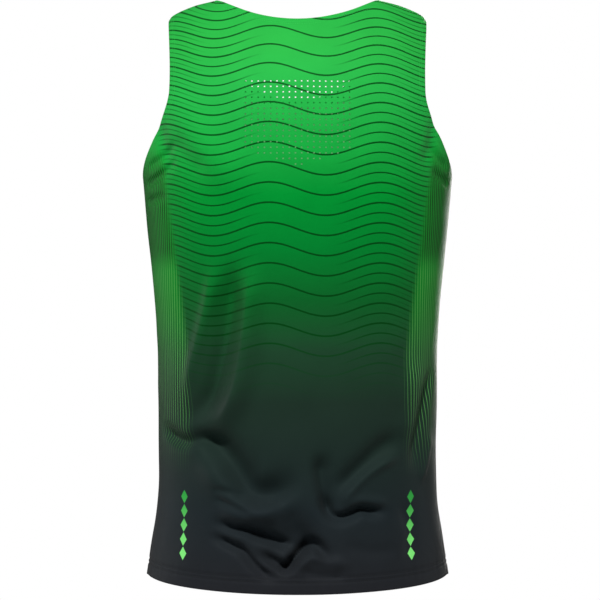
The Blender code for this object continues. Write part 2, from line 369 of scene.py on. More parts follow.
def outwardNormals():
    normals = {}
    for side, panel in panels.items():
        across = np.gradient(points[side], axis=0)
        upward = np.gradient(points[side], axis=1)
        normals[side] = unit(-panel["sign"] * np.cross(across, upward))
    for column in (0, -1):
        rows = slice(0, bodyRows + 1)
        shared = unit(normals["back"][column, rows] + normals["front"][column, rows])
        normals["back"][column, rows] = normals["front"][column, rows] = shared
    shared = unit(normals["back"][shoulderColumns, -1] + normals["front"][shoulderColumns, -1])
    normals["back"][shoulderColumns, -1] = normals["front"][shoulderColumns, -1] = shared
    return normals


# A fold is a smooth line through some places, in degrees round from the panel's middle towards +X and metres
# of height. Its depth is negative for a trough. Lean widens the slope on the left of the line's way.
folds = {
    "taper": 0.24,             # the share of a fold's length over which it fades in and out
    "steps": 24,               # along the line from one place to the next
    "arcSteps": 60,            # for measuring round the cloth
    "reach": 3.5,              # how many of its widths away a fold ends
    # depth, width, lean, places
    "back": (
        # the left side of the waist
        (0.0060, 0.0085, 0.0, ((-30.0, -0.315), (-33.5, -0.357), (-38.0, -0.391), (-44.0, -0.432),
                               (-49.0, -0.473))),
        (-0.0130, 0.0120, 0.0, ((-22.0, -0.310), (-26.5, -0.385), (-30.0, -0.426), (-33.5, -0.458),
                                (-39.0, -0.481), (-50.0, -0.500))),
        (0.0105, 0.0125, 0.3, ((-14.5, -0.315), (-17.5, -0.391), (-19.3, -0.426), (-22.0, -0.460),
                               (-27.0, -0.489), (-34.0, -0.508))),
        (-0.0085, 0.0080, 0.2, ((-72.0, -0.507), (-64.3, -0.513), (-50.6, -0.522), (-39.8, -0.518),
                                (-27.4, -0.527))),
        # the deep valley across the small of the back
        (0.0088, 0.0185, 0.0, ((-40.0, -0.545), (-32.7, -0.556), (-21.6, -0.586), (-12.1, -0.600),
                               (-3.0, -0.596))),
        (-0.0165, 0.0160, 0.25, ((-42.0, -0.512), (-34.0, -0.525), (-27.0, -0.538), (-21.5, -0.557),
                                 (-17.5, -0.573), (-12.2, -0.581), (-7.3, -0.579), (-2.9, -0.569),
                                 (-1.0, -0.556))),
        # the hook right of the middle, and the crescent over it
        (-0.0115, 0.0110, 0.2, ((6.8, -0.536), (7.7, -0.563), (9.1, -0.583), (11.2, -0.603))),
        (-0.0105, 0.0064, -0.2, ((8.2, -0.575), (9.3, -0.590), (11.0, -0.601), (14.0, -0.605),
                                 (18.0, -0.602), (22.7, -0.596), (28.0, -0.598), (36.0, -0.602))),
        (0.0055, 0.0060, 0.0, ((13.0, -0.594), (16.1, -0.584), (21.7, -0.567), (30.2, -0.550),
                               (43.0, -0.536))),
        (-0.0085, 0.0125, 0.0, ((11.0, -0.577), (17.5, -0.563), (25.0, -0.545), (33.5, -0.527),
                                (45.0, -0.515))),
        (0.0025, 0.0060, 0.0, ((16.0, -0.589), (24.5, -0.588), (35.7, -0.590))),
        # creases above the hem
        (-0.0090, 0.0060, -0.1, ((-33.0, -0.610), (-22.5, -0.617), (-14.4, -0.620), (-8.2, -0.628),
                                 (-2.8, -0.635), (0.5, -0.638))),
        (-0.0100, 0.0160, 0.2, ((-19.0, -0.622), (-10.0, -0.629), (-4.0, -0.634), (0.5, -0.629),
                                (4.0, -0.618))),
        (0.0040, 0.0090, 0.0, ((-28.1, -0.598), (-13.9, -0.604), (-5.0, -0.594))),
        (-0.0095, 0.0058, -0.1, ((-33.5, -0.626), (-23.4, -0.636), (-18.4, -0.643), (-13.7, -0.658),
                                 (-8.9, -0.670), (-4.0, -0.673))),
        (0.0030, 0.0070, 0.0, ((-23.8, -0.623), (-13.5, -0.634), (-6.4, -0.642))),
        (-0.0130, 0.0066, 0.1, ((-14.5, -0.643), (-7.9, -0.653), (-2.9, -0.662), (-0.7, -0.653),
                                (0.9, -0.643), (3.0, -0.636), (5.5, -0.637), (8.3, -0.649),
                                (11.0, -0.661))),
        (-0.0070, 0.0060, 0.0, ((-4.5, -0.665), (-1.4, -0.656), (0.5, -0.645), (3.0, -0.637))),
        (-0.0070, 0.0130, 0.0, ((-2.5, -0.598), (0.1, -0.622), (4.0, -0.640))),
        (0.0050, 0.0065, 0.0, ((-1.0, -0.667), (3.2, -0.652), (9.6, -0.655), (17.4, -0.661))),
        (-0.0030, 0.0050, 0.0, ((0.5, -0.667), (6.8, -0.671), (15.4, -0.672))),
        (-0.0045, 0.0048, -0.2, ((-32.1, -0.583), (-22.3, -0.594), (-15.1, -0.604))),
        (-0.0036, 0.0048, -0.2, ((-32.7, -0.574), (-25.5, -0.577), (-17.3, -0.583))),
        (-0.0020, 0.0080, 0.0, ((15.3, -0.636), (25.2, -0.645), (38.7, -0.644))),
        (-0.0025, 0.0090, 0.0, ((43.7, -0.593), (47.3, -0.623), (43.5, -0.656))),
        # upright folds at the right side
        (-0.0070, 0.0085, 0.0, ((71.0, -0.435), (63.5, -0.471), (58.5, -0.501), (54.8, -0.529),
                                (52.5, -0.556))),
        (0.0035, 0.0130, 0.0, ((54.7, -0.432), (49.9, -0.484), (44.1, -0.519))),
        (0.0030, 0.0060, 0.0, ((69.5, -0.512), (64.7, -0.539), (58.1, -0.570))),
        # over the shoulder blades, and small drag lines from the armholes
        (0.0045, 0.0230, 0.0, ((-50.0, -0.120), (-32.0, -0.185), (-17.0, -0.232))),
        (-0.0028, 0.0130, 0.0, ((-47.0, -0.176), (-39.2, -0.196), (-32.0, -0.208))),
        (-0.0030, 0.0090, 0.0, ((-55.0, -0.154), (-54.0, -0.176), (-51.0, -0.200))),
        (-0.0030, 0.0090, 0.0, ((55.0, -0.146), (54.0, -0.170), (50.0, -0.200))),
        (-0.0030, 0.0050, -0.2, ((-70.0, -0.203), (-56.0, -0.191), (-46.0, -0.175))),
        (-0.0032, 0.0050, -0.2, ((-77.0, -0.225), (-56.0, -0.209), (-45.0, -0.192))),
        (-0.0026, 0.0048, -0.2, ((-76.0, -0.242), (-66.0, -0.239), (-55.0, -0.236))),
        (-0.0030, 0.0050, -0.2, ((71.0, -0.204), (61.0, -0.194), (52.0, -0.178))),
        (-0.0026, 0.0050, -0.2, ((75.0, -0.223), (63.0, -0.215), (55.0, -0.206))),
    ),
    "front": (
        # under the arms and across the chest
        (-0.0035, 0.0140, 0.0, ((-46.0, -0.230), (-32.0, -0.250), (-16.0, -0.264))),
        (-0.0035, 0.0140, 0.0, ((48.0, -0.224), (34.0, -0.244), (18.0, -0.254))),
        (0.0030, 0.0130, 0.0, ((-54.0, -0.204), (-40.0, -0.225), (-22.0, -0.240))),
        (-0.0020, 0.0065, 0.0, ((64.0, -0.210), (56.0, -0.200), (46.0, -0.195))),
        (-0.0020, 0.0065, 0.0, ((-66.0, -0.207), (-58.0, -0.197), (-48.0, -0.190))),
        # down both sides of the waist
        (0.0055, 0.0150, -0.4, ((19.0, -0.345), (27.0, -0.420), (38.0, -0.474), (46.0, -0.496))),
        (-0.0050, 0.0110, 0.2, ((32.0, -0.350), (42.0, -0.430), (51.0, -0.490))),
        (-0.0050, 0.0090, 0.0, ((-66.0, -0.430), (-60.0, -0.490), (-52.0, -0.540))),
        (0.0035, 0.0130, 0.0, ((-50.0, -0.410), (-48.0, -0.480), (-42.0, -0.520))),
        # across the stomach
        (-0.0070, 0.0150, -0.4, ((-2.0, -0.540), (8.0, -0.566), (20.0, -0.553), (36.0, -0.524),
                                 (56.0, -0.512))),
        (-0.0048, 0.0080, 0.0, ((-12.0, -0.566), (-22.0, -0.548), (-36.0, -0.530), (-50.0, -0.522))),
        (0.0042, 0.0090, 0.0, ((-10.0, -0.584), (-22.0, -0.568), (-40.0, -0.546))),
        # above the hem
        (-0.0042, 0.0060, 0.2, ((-30.0, -0.612), (-16.0, -0.622), (-4.0, -0.640), (6.0, -0.652))),
        (-0.0040, 0.0050, 0.2, ((10.0, -0.616), (20.0, -0.622), (28.0, -0.640), (40.0, -0.650))),
        (0.0028, 0.0080, 0.0, ((-24.0, -0.600), (-10.0, -0.608), (2.0, -0.622))),
        (-0.0020, 0.0050, 0.0, ((-8.0, -0.594), (2.0, -0.602), (13.0, -0.600))),
        (-0.0018, 0.0045, 0.0, ((22.0, -0.594), (30.0, -0.588), (40.0, -0.590))),
        (-0.0016, 0.0050, 0.0, ((-26.0, -0.664), (-16.0, -0.668), (-6.0, -0.664))),
    ),
}
ripples = {
    "scale": 24.0,             # the soft unevenness of hanging knit, about 40 mm from rise to rise
    "lift": 0.0007,
}
sewing = {
    # how far in from the edge each row of stitches runs
    "hem": (0.0130, 0.0180),
    "neck": (0.0050, 0.0075),
    "armholes": (0.0050, 0.0075),
    "pitch": 0.0026,
    "length": 0.0023,
    "threadWidth": 0.00045,
    "threadHeight": 0.00036,
    "threadSides": 6,
    "threadRings": 4,
    "groove": 0.00090,         # how far the hem's stitches pull into the cloth
    "grooveWidth": 0.0012,
    "pucker": 0.00035,
    "puckerLength": 0.0060,
    "puckerHeight": 0.0100,
}


# How far round the cloth each grid point lies from the panel's middle.
def clothAround(side):
    place = plain[side]
    steps = np.linalg.norm(np.diff(place[..., :2], axis=0), axis=-1)
    around = np.concatenate([np.zeros((1, place.shape[1])), np.cumsum(steps, 0)])
    middle = [np.interp(0, place[:, row, 0], around[:, row]) for row in range(place.shape[1])]
    return around - middle


# The same for a place given by its degrees and height.
def ringAround(side, degrees, height):
    turn = np.radians(np.linspace(0, degrees, folds["arcSteps"]))
    path = ringPlace(side, turn, np.full(len(turn), height))
    return math.copysign(np.linalg.norm(np.diff(path, axis=0), axis=-1).sum(), degrees)


# Even steps on a smooth curve through a fold's places.
def foldLine(side, places):
    knots = np.array([(ringAround(side, degrees, height), height) for degrees, height in places])
    knots = np.concatenate([[2 * knots[0] - knots[1]], knots, [2 * knots[-1] - knots[-2]]])
    share = np.arange(folds["steps"])[:, None] / folds["steps"]
    parts = []
    for number in range(len(knots) - 3):
        before, start, end, after = knots[number:number + 4]
        bend = 2 * before - 5 * start + 4 * end - after
        twist = 3 * start - before - 3 * end + after
        parts.append(start + 0.5 * ((end - before) * share + bend * share ** 2 + twist * share ** 3))
    return np.concatenate([*parts, knots[-2:-1]])


# The strongest that any part of the line makes the fold at each point, so that its bends stay smooth.
def foldLift(side, fold, around, height):
    depth, width, lean, places = fold
    line = foldLine(side, places)
    run = np.concatenate([[0], np.cumsum(np.linalg.norm(np.diff(line, axis=0), axis=1))])
    strength = smoothStep(np.minimum(run, run[-1] - run) / run[-1] / folds["taper"])
    way = unit(np.gradient(line, axis=0))
    low, high = line.min(0) - folds["reach"] * width, line.max(0) + folds["reach"] * width
    near = (around > low[0]) & (around < high[0]) & (height > low[1]) & (height < high[1])
    gaps = np.stack([around[near], height[near]], -1)[:, None] - line
    away = np.linalg.norm(gaps, axis=-1) + 1e-9        # never nothing, as it divides
    leftward = (gaps[..., 1] * way[:, 0] - gaps[..., 0] * way[:, 1]) / away
    share = strength * np.exp(-(away / (width * (1 + lean * leftward))) ** 2)
    lift = np.zeros(around.shape)
    lift[near] = depth * share.max(-1)
    return lift


def rippleLift(side):
    flat = points[side].reshape(-1, 3) * ripples["scale"]
    heights = [noise.noise(Vector(place)) for place in flat]
    return ripples["lift"] * np.array(heights).reshape(points[side].shape[:2])


# The hem is drawn in along its two rows of stitches, and puckers a little between them.
def hemLift(around, height):
    above = height - height[:, :1]
    lift = 0
    for row in sewing["hem"]:
        lift = lift - sewing["groove"] * np.exp(-((above - row) / sewing["grooveWidth"]) ** 2)
    waves = [noise.noise(Vector((place / sewing["puckerLength"], 0, 0))) for place in around[:, 0]]
    middle = sum(sewing["hem"]) / 2
    share = np.exp(-((above - middle) / sewing["puckerHeight"]) ** 2)
    return lift + sewing["pucker"] * np.array(waves)[:, None] * share


def foldPanels():
    normals = outwardNormals()
    for side in panels:
        around = clothAround(side)
        height = points[side][..., 2]
        lift = rippleLift(side) + hemLift(around, height)
        for fold in folds[side]:
            lift = lift + foldLift(side, fold, around, height)
        lift[[0, -1], :bodyRows + 1] = 0
        lift[shoulderColumns, -1] = 0
        points[side] = points[side] + normals[side] * lift[..., None]


foldPanels()
normals = outwardNormals()
print("the panels are folded")

cloth = {
    "thickness": 0.00065,      # interlock knit
    "foldRadius": 0.00075,     # the outer face's radius where an edge is turned in
    "foldSteps": 4,
    "legSteps": 4,
    "insetReach": 30,          # grid points looked at, in from an edge
    "hemWidth": 0.020,
    "edgeWidth": 0.009,        # at the neck and the armholes
    "seamWidth": 0.006,
    "mapMiddle": (0.5, 0.7),   # where a panel's middle at height 0 lies on its UV map, in metres
    "sharpAngle": 55,
}


# Boundary runs of a panel, each a list of (column, row) and the width of the cloth turned in there.
def boundaryRuns(side):
    rows = points[side].shape[1]
    allColumns = range(columnCount + 1)
    neck = [column for column in allColumns if abs(column - halfColumns) <= grid["neckHalfColumns"]]
    left, right = neck[0], neck[-1]
    return {
        "hem": ([(column, 0) for column in allColumns], cloth["hemWidth"]),
        "neck": ([(column, rows - 1) for column in neck], cloth["edgeWidth"]),
        "leftArmhole": ([(0, row) for row in range(bodyRows, rows)], cloth["edgeWidth"]),
        "rightArmhole": ([(columnCount, row) for row in range(bodyRows, rows)], cloth["edgeWidth"]),
        "leftSide": ([(0, row) for row in range(bodyRows + 1)], cloth["seamWidth"]),
        "rightSide": ([(columnCount, row) for row in range(bodyRows + 1)], cloth["seamWidth"]),
        "leftShoulder": ([(column, rows - 1) for column in range(left + 1)], cloth["seamWidth"]),
        "rightShoulder": ([(column, rows - 1) for column in range(right, columnCount + 1)],
                          cloth["seamWidth"]),
    }


# Points and normals at some distances in from a run, along the grid's lines, and the ways out of the panel.
def insetRun(side, run, distances):
    columns, rows = np.array(run).T
    lastRow = points[side].shape[1] - 1
    steps = np.arange(cloth["insetReach"])[:, None]
    if len(set(columns)) > 1:
        fullRows = rows + steps if rows[0] == 0 else lastRow - steps + 0 * rows
        fullColumns = columns + 0 * steps
    else:
        fullColumns = columns + steps if columns[0] == 0 else columnCount - steps + 0 * columns
        fullRows = rows + 0 * steps
    lines = points[side][fullColumns, fullRows]
    upright = normals[side][fullColumns, fullRows]
    along = unit(np.gradient(lines[0], axis=0))
    step = np.linalg.norm(np.cross(np.diff(lines, axis=0), along), axis=-1)
    reach = np.concatenate([np.zeros((1, len(run))), np.cumsum(step, 0)])
    rowsOut = []
    for distance in distances:
        place, normal = np.empty((len(run), 3)), np.empty((len(run), 3))
        for number in range(len(run)):
            for axis in range(3):
                place[number, axis] = np.interp(distance, reach[:, number], lines[:, number, axis])
                normal[number, axis] = np.interp(distance, reach[:, number], upright[:, number, axis])
        rowsOut.append((place, unit(normal)))
    out = np.cross(along, upright[0])
    out *= np.sign(np.sum(out * (lines[0] - lines[1]), -1))[:, None]
    return rowsOut, unit(out)


# The edge's cloth rolled over inwards and laid back against the panel's inside, one row of points a step.
def turnedRows(side, run, width):
    radius = cloth["foldRadius"]
    legs = width * (np.arange(cloth["legSteps"]) + 1) / cloth["legSteps"]
    (edge, *laid), out = insetRun(side, run, (0, *legs))
    place, normal = edge
    rows = []
    for step in range(1, cloth["foldSteps"] + 1):
        angle = math.pi * step / cloth["foldSteps"]
        rows.append(place + out * radius * math.sin(angle) - normal * radius * (1 - math.cos(angle)))
    return rows + [place - normal * 2 * radius for place, normal in laid]


def makeCloth(side):
    columns, rows = points[side].shape[:2]
    places = list(points[side].reshape(-1, 3))
    flat = list(np.stack([clothAround(side), plain[side][..., 2]], -1).reshape(-1, 2))
    index = np.arange(columns * rows).reshape(columns, rows)
    corners = [index[:-1, :-1], index[1:, :-1], index[1:, 1:], index[:-1, 1:]]
    faces = np.stack([corner.ravel() for corner in corners], -1).tolist()
    for run, width in boundaryRuns(side).values():
        last = [index[place] for place in run]
        for layer in turnedRows(side, run, width):
            fresh = list(range(len(places), len(places) + len(run)))
            places.extend(layer)
            flat.extend(flat[number] for number in last)
            faces.extend([last[i], last[i + 1], fresh[i + 1], fresh[i]] for i in range(len(run) - 1))
            last = fresh
    mesh = bpy.data.meshes.new(f"{side}_cloth")
    mesh.from_pydata([tuple(place) for place in places], [], faces)
    cut = mesh.uv_layers.new(name="cut")
    numbers = np.empty(len(mesh.loops), int)
    mesh.loops.foreach_get("vertex_index", numbers)
    cut.data.foreach_set("uv", (np.array(flat) + cloth["mapMiddle"])[numbers].ravel())
    piece = bpy.data.objects.new(f"{side}_cloth", mesh)
    scene.collection.objects.link(piece)
    return piece


# The columns and rows of the grid points that the vent holes go through.
def ventPlaces():
    apart, below = vents["gridColumns"], vents["gridRows"]
    first = round((grid["straightColumns"] - apart * (vents["columns"] - 1)) / 2) + grid["outerColumns"]
    topRow = bodyRows + round((vents["topHeight"] - figure["underarm"]) / (vents["rowPitch"] / below))
    middle = (vents["columns"] - 1) / 2
    places = []
    for number in range(vents["columns"]):
        nearMiddle = 1 - abs(number - middle) / middle
        rowCount = round(mix(vents["rowsAtSides"], vents["rowsAtMiddle"], nearMiddle))
        places += [(first + apart * number, topRow - below * row) for row in range(rowCount)]
    return places


def activate(piece):
    clearSelection()
    piece.select_set(True)
    bpy.context.view_layer.objects.active = piece


# Each hole is a point of the grid, bevelled into a round face that is then taken away.
def cutVents(piece):
    rows = points["back"].shape[1]
    mesh = piece.data
    for parts in (mesh.vertices, mesh.edges, mesh.polygons):
        parts.foreach_set("select", np.zeros(len(parts), bool))
    for column, row in ventPlaces():
        mesh.vertices[column * rows + row].select = True
    bpy.ops.object.mode_set(mode="EDIT")
    bpy.ops.mesh.select_mode(type="VERT")
    bpy.ops.mesh.bevel(affect="VERTICES", offset=vents["radius"], segments=2, profile=vents["profile"])
    bpy.ops.mesh.select_mode(type="FACE")
    bpy.ops.mesh.delete(type="FACE")
    bpy.ops.object.mode_set(mode="OBJECT")


def finishCloth(piece):
    bpy.ops.object.mode_set(mode="EDIT")
    bpy.ops.mesh.select_all(action="SELECT")
    bpy.ops.mesh.normals_make_consistent(inside=False)
    bpy.ops.object.mode_set(mode="OBJECT")
    wall = piece.modifiers.new("wall", "SOLIDIFY")
    wall.thickness = cloth["thickness"]
    wall.offset = -1
    wall.material_offset = 1
    bpy.ops.object.modifier_apply(modifier="wall")
    bpy.ops.object.shade_smooth_by_angle(angle=math.radians(cloth["sharpAngle"]))


printing = {
    # height, colour of the fade from the shoulders to the hem
    "fade": ((-0.690, "#212328"), (-0.600, "#1c2428"), (-0.476, "#1c2e26"), (-0.416, "#1c3f2a"),
             (-0.356, "#0c5b26"), (-0.297, "#03762c"), (-0.237, "#02862f"), (-0.178, "#16983c"),
             (-0.118, "#1f9a40"), (-0.058, "#22983c"), (-0.010, "#1e943a")),
    "fadeBottom": -0.700,
    "clouds": 30.0,                                   # to the metre, because ink takes unevenly
    "cloudTones": (0.93, 1.07),
    "inkEdge": 0.4,                                   # the share of a line's half width that is soft
    "waveSpacing": 0.023,
    "waveRise": 0.0075,
    "waveLength": 0.130,
    "waveHalfWidth": 0.00100,
    "waveEnds": (-0.480, -0.380),
    "waveInk": "#033a10",
    "waveStrength": 0.92,
    # the waves between: shift, spacing and half width as shares of the main ones, then how far out they
    # begin and are full, and their strength
    "finerWaves": ((0.5, 1.0, 0.8, 0.035, 0.085, 1.0), (0.25, 0.5, 0.60, 0.100, 0.150, 0.65)),
    "sideZone": ((-0.13, 0.172), (-0.42, 0.125)),     # height, how far round from the middle it begins
    "sideZoneEdge": 0.014,
    # ink, strength, and the heights between which it shows: a clear green, and a darker one under the arms
    "sideTint": ("#0a9a14", 0.38, (-0.460, -0.340, -0.220, -0.150)),
    "sideShade": ("#1c7426", 0.40, (-0.325, -0.295, -0.215, -0.178)),
    # spacing, half width, ink: a print's finest stripes are 2.6 mm apart, drawn coarser so that they show
    "darkStripes": (0.0036, 0.00090, "#04380c"),
    "lightStripes": (0.0040, 0.00034, "#57a353"),
    "lightStripeEnds": (-0.570, -0.430, -0.330, -0.300),
    "diamondPlace": (0.1385, -0.6170),
    "diamondSize": (0.0052, 0.0078),
    "diamondSpacing": 0.0162,
    "diamondHalfRun": 0.0405,
    "diamondEdge": (1.05, 0.9),                       # from clear cloth to full ink
    "diamondInks": ("#7ce37a", "#2c9a40"),            # from the lowest to the highest
}
knit = {
    # the real wales are about 0.6 mm apart and the courses 0.5 mm, drawn coarser so that they show
    "walePitch": 0.0010,
    "coursePitch": 0.0008,
    "courseShare": 0.5,        # how high the courses stand against the wales
    "relief": 0.00008,
    "sheenRoughness": 0.45,
    "bleed": 0.85,             # how much of the print shows through to the wrong side
    "wrongSide": "#dfe6df",
}
mathNode = "ShaderNodeMath"
rangeNode = "ShaderNodeMapRange"
mixNode = "ShaderNodeMix"


# Many even lines of ink with soft sides.
def inkLines(tree, value, spacing, halfWidth):
    away = addNode(tree, mathNode, {0: value, 1: spacing / 2}, operation="PINGPONG")
    soft = printing["inkEdge"] * halfWidth
    return addNode(tree, rangeNode, {"Value": away, "From Min": halfWidth + soft,
                                     "From Max": halfWidth - soft}, interpolation_type="SMOOTHSTEP")


# How far round the cloth from its middle, how high, and how far round without the side.
def cutPlace(tree):
    middle, level = cloth["mapMiddle"]
    spot = addNode(tree, "ShaderNodeSeparateXYZ", {0: addNode(tree, "ShaderNodeUVMap", uv_map="cut")})
    across = addNode(tree, mathNode, {0: spot.outputs["X"], 1: middle}, operation="SUBTRACT")
    height = addNode(tree, mathNode, {0: spot.outputs["Y"], 1: level}, operation="SUBTRACT")
    return across, height, addNode(tree, mathNode, {0: across}, operation="ABSOLUTE")


def fadeColour(tree, height):
    bottom = printing["fadeBottom"]
    share = addNode(tree, rangeNode, {"Value": height, "From Min": bottom, "From Max": 0.0})
    ramp = addNode(tree, "ShaderNodeValToRGB", {"Fac": share})
    stops = ramp.color_ramp.elements
    for number, (level, colour) in enumerate(printing["fade"]):
        place = 1 - level / bottom
        stop = stops[number] if number < 2 else stops.new(place)
        stop.position = place
        stop.color = linear(colour)
    cloudy = addNode(tree, "ShaderNodeTexNoise", {"Vector": addNode(tree, "ShaderNodeUVMap", uv_map="cut"),
                                                  "Scale": printing["clouds"], "Detail": 4.0})
    weak, strong = printing["cloudTones"]
    uneven = addNode(tree, rangeNode, {"Value": cloudy, "To Min": weak, "To Max": strong})
    return addNode(tree, "ShaderNodeVectorMath", {0: ramp, 1: uneven}, operation="MULTIPLY")


def sineOf(tree, value, length):
    turn = addNode(tree, mathNode, {0: value, 1: 2 * math.pi / length}, operation="MULTIPLY")
    return addNode(tree, mathNode, {0: turn}, operation="SINE")


# Plain wave lines right across, with more of them towards the sides.
def waveMask(tree, across, height, outward):
    swing = sineOf(tree, across, printing["waveLength"])
    level = addNode(tree, mathNode, {0: swing, 1: printing["waveRise"], 2: height}, operation="MULTIPLY_ADD")
    spacing, half = printing["waveSpacing"], printing["waveHalfWidth"]
    lines = inkLines(tree, level, spacing, half)
    for shift, gap, thin, begin, full, strength in printing["finerWaves"]:
        moved = addNode(tree, mathNode, {0: level, 1: shift * spacing})
        finer = inkLines(tree, moved, gap * spacing, thin * half)
        inside = addNode(tree, rangeNode, {"Value": outward, "From Min": begin, "From Max": full,
                                           "To Max": strength}, interpolation_type="SMOOTHSTEP")
        finer = addNode(tree, mathNode, {0: finer, 1: inside}, operation="MULTIPLY")
        lines = addNode(tree, mathNode, {0: lines, 1: finer}, operation="MAXIMUM")
    low, high = printing["waveEnds"]
    ends = addNode(tree, rangeNode, {"Value": height, "From Min": low, "From Max": high,
                                     "To Max": printing["waveStrength"]}, interpolation_type="SMOOTHSTEP")
    return addNode(tree, mathNode, {0: lines, 1: ends}, operation="MULTIPLY")


# The zone down each side, which takes stripes in place of waves.
def sideZone(tree, height, outward):
    (topLevel, topPlace), (lowLevel, lowPlace) = printing["sideZone"]
    begin = addNode(tree, rangeNode, {"Value": height, "From Min": lowLevel, "From Max": topLevel,
                                      "To Min": lowPlace, "To Max": topPlace})
    inside = addNode(tree, mathNode, {0: outward, 1: begin}, operation="SUBTRACT")
    return addNode(tree, rangeNode, {"Value": inside, "From Max": printing["sideZoneEdge"]},
                   interpolation_type="SMOOTHSTEP")


# Whole between the two middle heights, fading to nothing at the outer two.
def between(tree, height, ends):
    lowEnd, lowFull, highFull, highEnd = ends
    rising = addNode(tree, rangeNode, {"Value": height, "From Min": lowEnd, "From Max": lowFull},
                     interpolation_type="SMOOTHSTEP")
    falling = addNode(tree, rangeNode, {"Value": height, "From Min": highEnd, "From Max": highFull},
                      interpolation_type="SMOOTHSTEP")
    return addNode(tree, mathNode, {0: rising, 1: falling}, operation="MULTIPLY")


def stripedSides(tree, colour, zone, height, outward):
    for ink, strength, ends in (printing["sideTint"], printing["sideShade"]):
        shaded = addNode(tree, mathNode, {0: between(tree, height, ends), 1: zone}, operation="MULTIPLY")
        share = addNode(tree, mathNode, {0: shaded, 1: strength}, operation="MULTIPLY")
        colour = addNode(tree, mixNode, {0: share, 6: colour, 7: linear(ink)}, data_type="RGBA")
    lit = addNode(tree, mathNode, {0: between(tree, height, printing["lightStripeEnds"]), 1: zone},
                  operation="MULTIPLY")
    for (spacing, half, ink), area in ((printing["darkStripes"], shaded), (printing["lightStripes"], lit)):
        lines = inkLines(tree, outward, spacing, half)
        share = addNode(tree, mathNode, {0: area, 1: lines}, operation="MULTIPLY")
        colour = addNode(tree, mixNode, {0: share, 6: colour, 7: linear(ink)}, data_type="RGBA")
    return colour


def diamonds(tree, colour, height, outward):
    place, middle = printing["diamondPlace"]
    halfWidth, halfHeight = printing["diamondSize"]
    halfRun = printing["diamondHalfRun"]
    upward = addNode(tree, mathNode, {0: height, 1: middle}, operation="SUBTRACT")
    upward = addNode(tree, mathNode, {0: upward, 1: printing["diamondSpacing"] / 2}, operation="PINGPONG")
    upward = addNode(tree, mathNode, {0: upward, 1: halfHeight}, operation="DIVIDE")
    sideways = addNode(tree, mathNode, {0: outward, 1: place}, operation="SUBTRACT")
    sideways = addNode(tree, mathNode, {0: sideways}, operation="ABSOLUTE")
    reach = addNode(tree, mathNode, {0: sideways, 1: 1 / halfWidth, 2: upward}, operation="MULTIPLY_ADD")
    clear, full = printing["diamondEdge"]
    inside = addNode(tree, rangeNode, {"Value": reach, "From Min": clear, "From Max": full},
                     interpolation_type="SMOOTHSTEP")
    run = addNode(tree, mathNode, {0: height, 1: middle, 2: halfRun}, operation="COMPARE")
    inside = addNode(tree, mathNode, {0: inside, 1: run}, operation="MULTIPLY")
    climb = addNode(tree, rangeNode, {"Value": height, "From Min": middle - halfRun,
                                      "From Max": middle + halfRun}, interpolation_type="SMOOTHSTEP")
    lowInk, highInk = printing["diamondInks"]
    bright = addNode(tree, mixNode, {0: climb, 6: linear(lowInk), 7: linear(highInk)}, data_type="RGBA")
    return addNode(tree, mixNode, {0: inside, 6: colour, 7: bright}, data_type="RGBA")


def printedColour(tree):
    across, height, outward = cutPlace(tree)
    zone = sideZone(tree, height, outward)
    clear = addNode(tree, mathNode, {0: 1.0, 1: zone}, operation="SUBTRACT")
    waves = waveMask(tree, across, height, outward)
    waves = addNode(tree, mathNode, {0: waves, 1: clear}, operation="MULTIPLY")
    colour = addNode(tree, mixNode, {0: waves, 6: fadeColour(tree, height), 7: linear(printing["waveInk"])},
                     data_type="RGBA")
    colour = stripedSides(tree, colour, zone, height, outward)
    return diamonds(tree, colour, height, outward)


# The knit's wales run up the cloth and its courses across, so a small relief of both catches the light.
def knitRelief(tree, strength):
    across, height, _ = cutPlace(tree)
    wales = sineOf(tree, across, knit["walePitch"])
    courses = sineOf(tree, height, knit["coursePitch"])
    loops = addNode(tree, mathNode, {0: courses, 1: knit["courseShare"], 2: wales}, operation="MULTIPLY_ADD")
    return addNode(tree, "ShaderNodeBump",
                   {"Height": loops, "Strength": strength, "Distance": knit["relief"]})


# A new cloth material from its colour, relief strength, roughness, specular level and sheen.
def clothMaterial(name, colourFrom, relief, roughness, specular, sheen):
    material = bpy.data.materials.new(name)
    material.use_nodes = True
    tree = material.node_tree
    shader = tree.nodes["Principled BSDF"]
    colour = next(output for output in colourFrom(tree).outputs if output.enabled)
    tree.links.new(colour, shader.inputs["Base Color"])
    tree.links.new(colour, shader.inputs["Specular Tint"])
    tree.links.new(knitRelief(tree, relief).outputs[0], shader.inputs["Normal"])
    shader.inputs["Roughness"].default_value = roughness
    shader.inputs["Specular IOR Level"].default_value = specular
    shader.inputs["Sheen Weight"].default_value = sheen
    shader.inputs["Sheen Roughness"].default_value = knit["sheenRoughness"]
    return material


# Polyester interlock, knitted fine and sublimation printed: a clear colour in the fibre itself, and a satin
# face that lights up softly on the folds, in the print's own colour.
def sublimatedInterlock():
    return clothMaterial("sublimatedInterlock", printedColour, relief=0.3, roughness=0.5, specular=0.36,
                         sheen=0.02)


def bledColour(tree):
    return addNode(tree, mixNode, {0: knit["bleed"], 6: linear(knit["wrongSide"]), 7: printedColour(tree)},
                   data_type="RGBA")


# The wrong side of the same knit: undyed polyester with the print showing through it, and no satin.
def interlockWrongSide():
    return clothMaterial("interlockWrongSide", bledColour, relief=0.6, roughness=0.75, specular=0.15,
                         sheen=0.02)


thread = {
    "twists": 2200.0,          # to the metre, so each is about 0.45 mm long
    "twistStrength": 0.6,
    "twistRelief": 0.00005,
    "roughness": 0.7,
    "specular": 0.2,
}


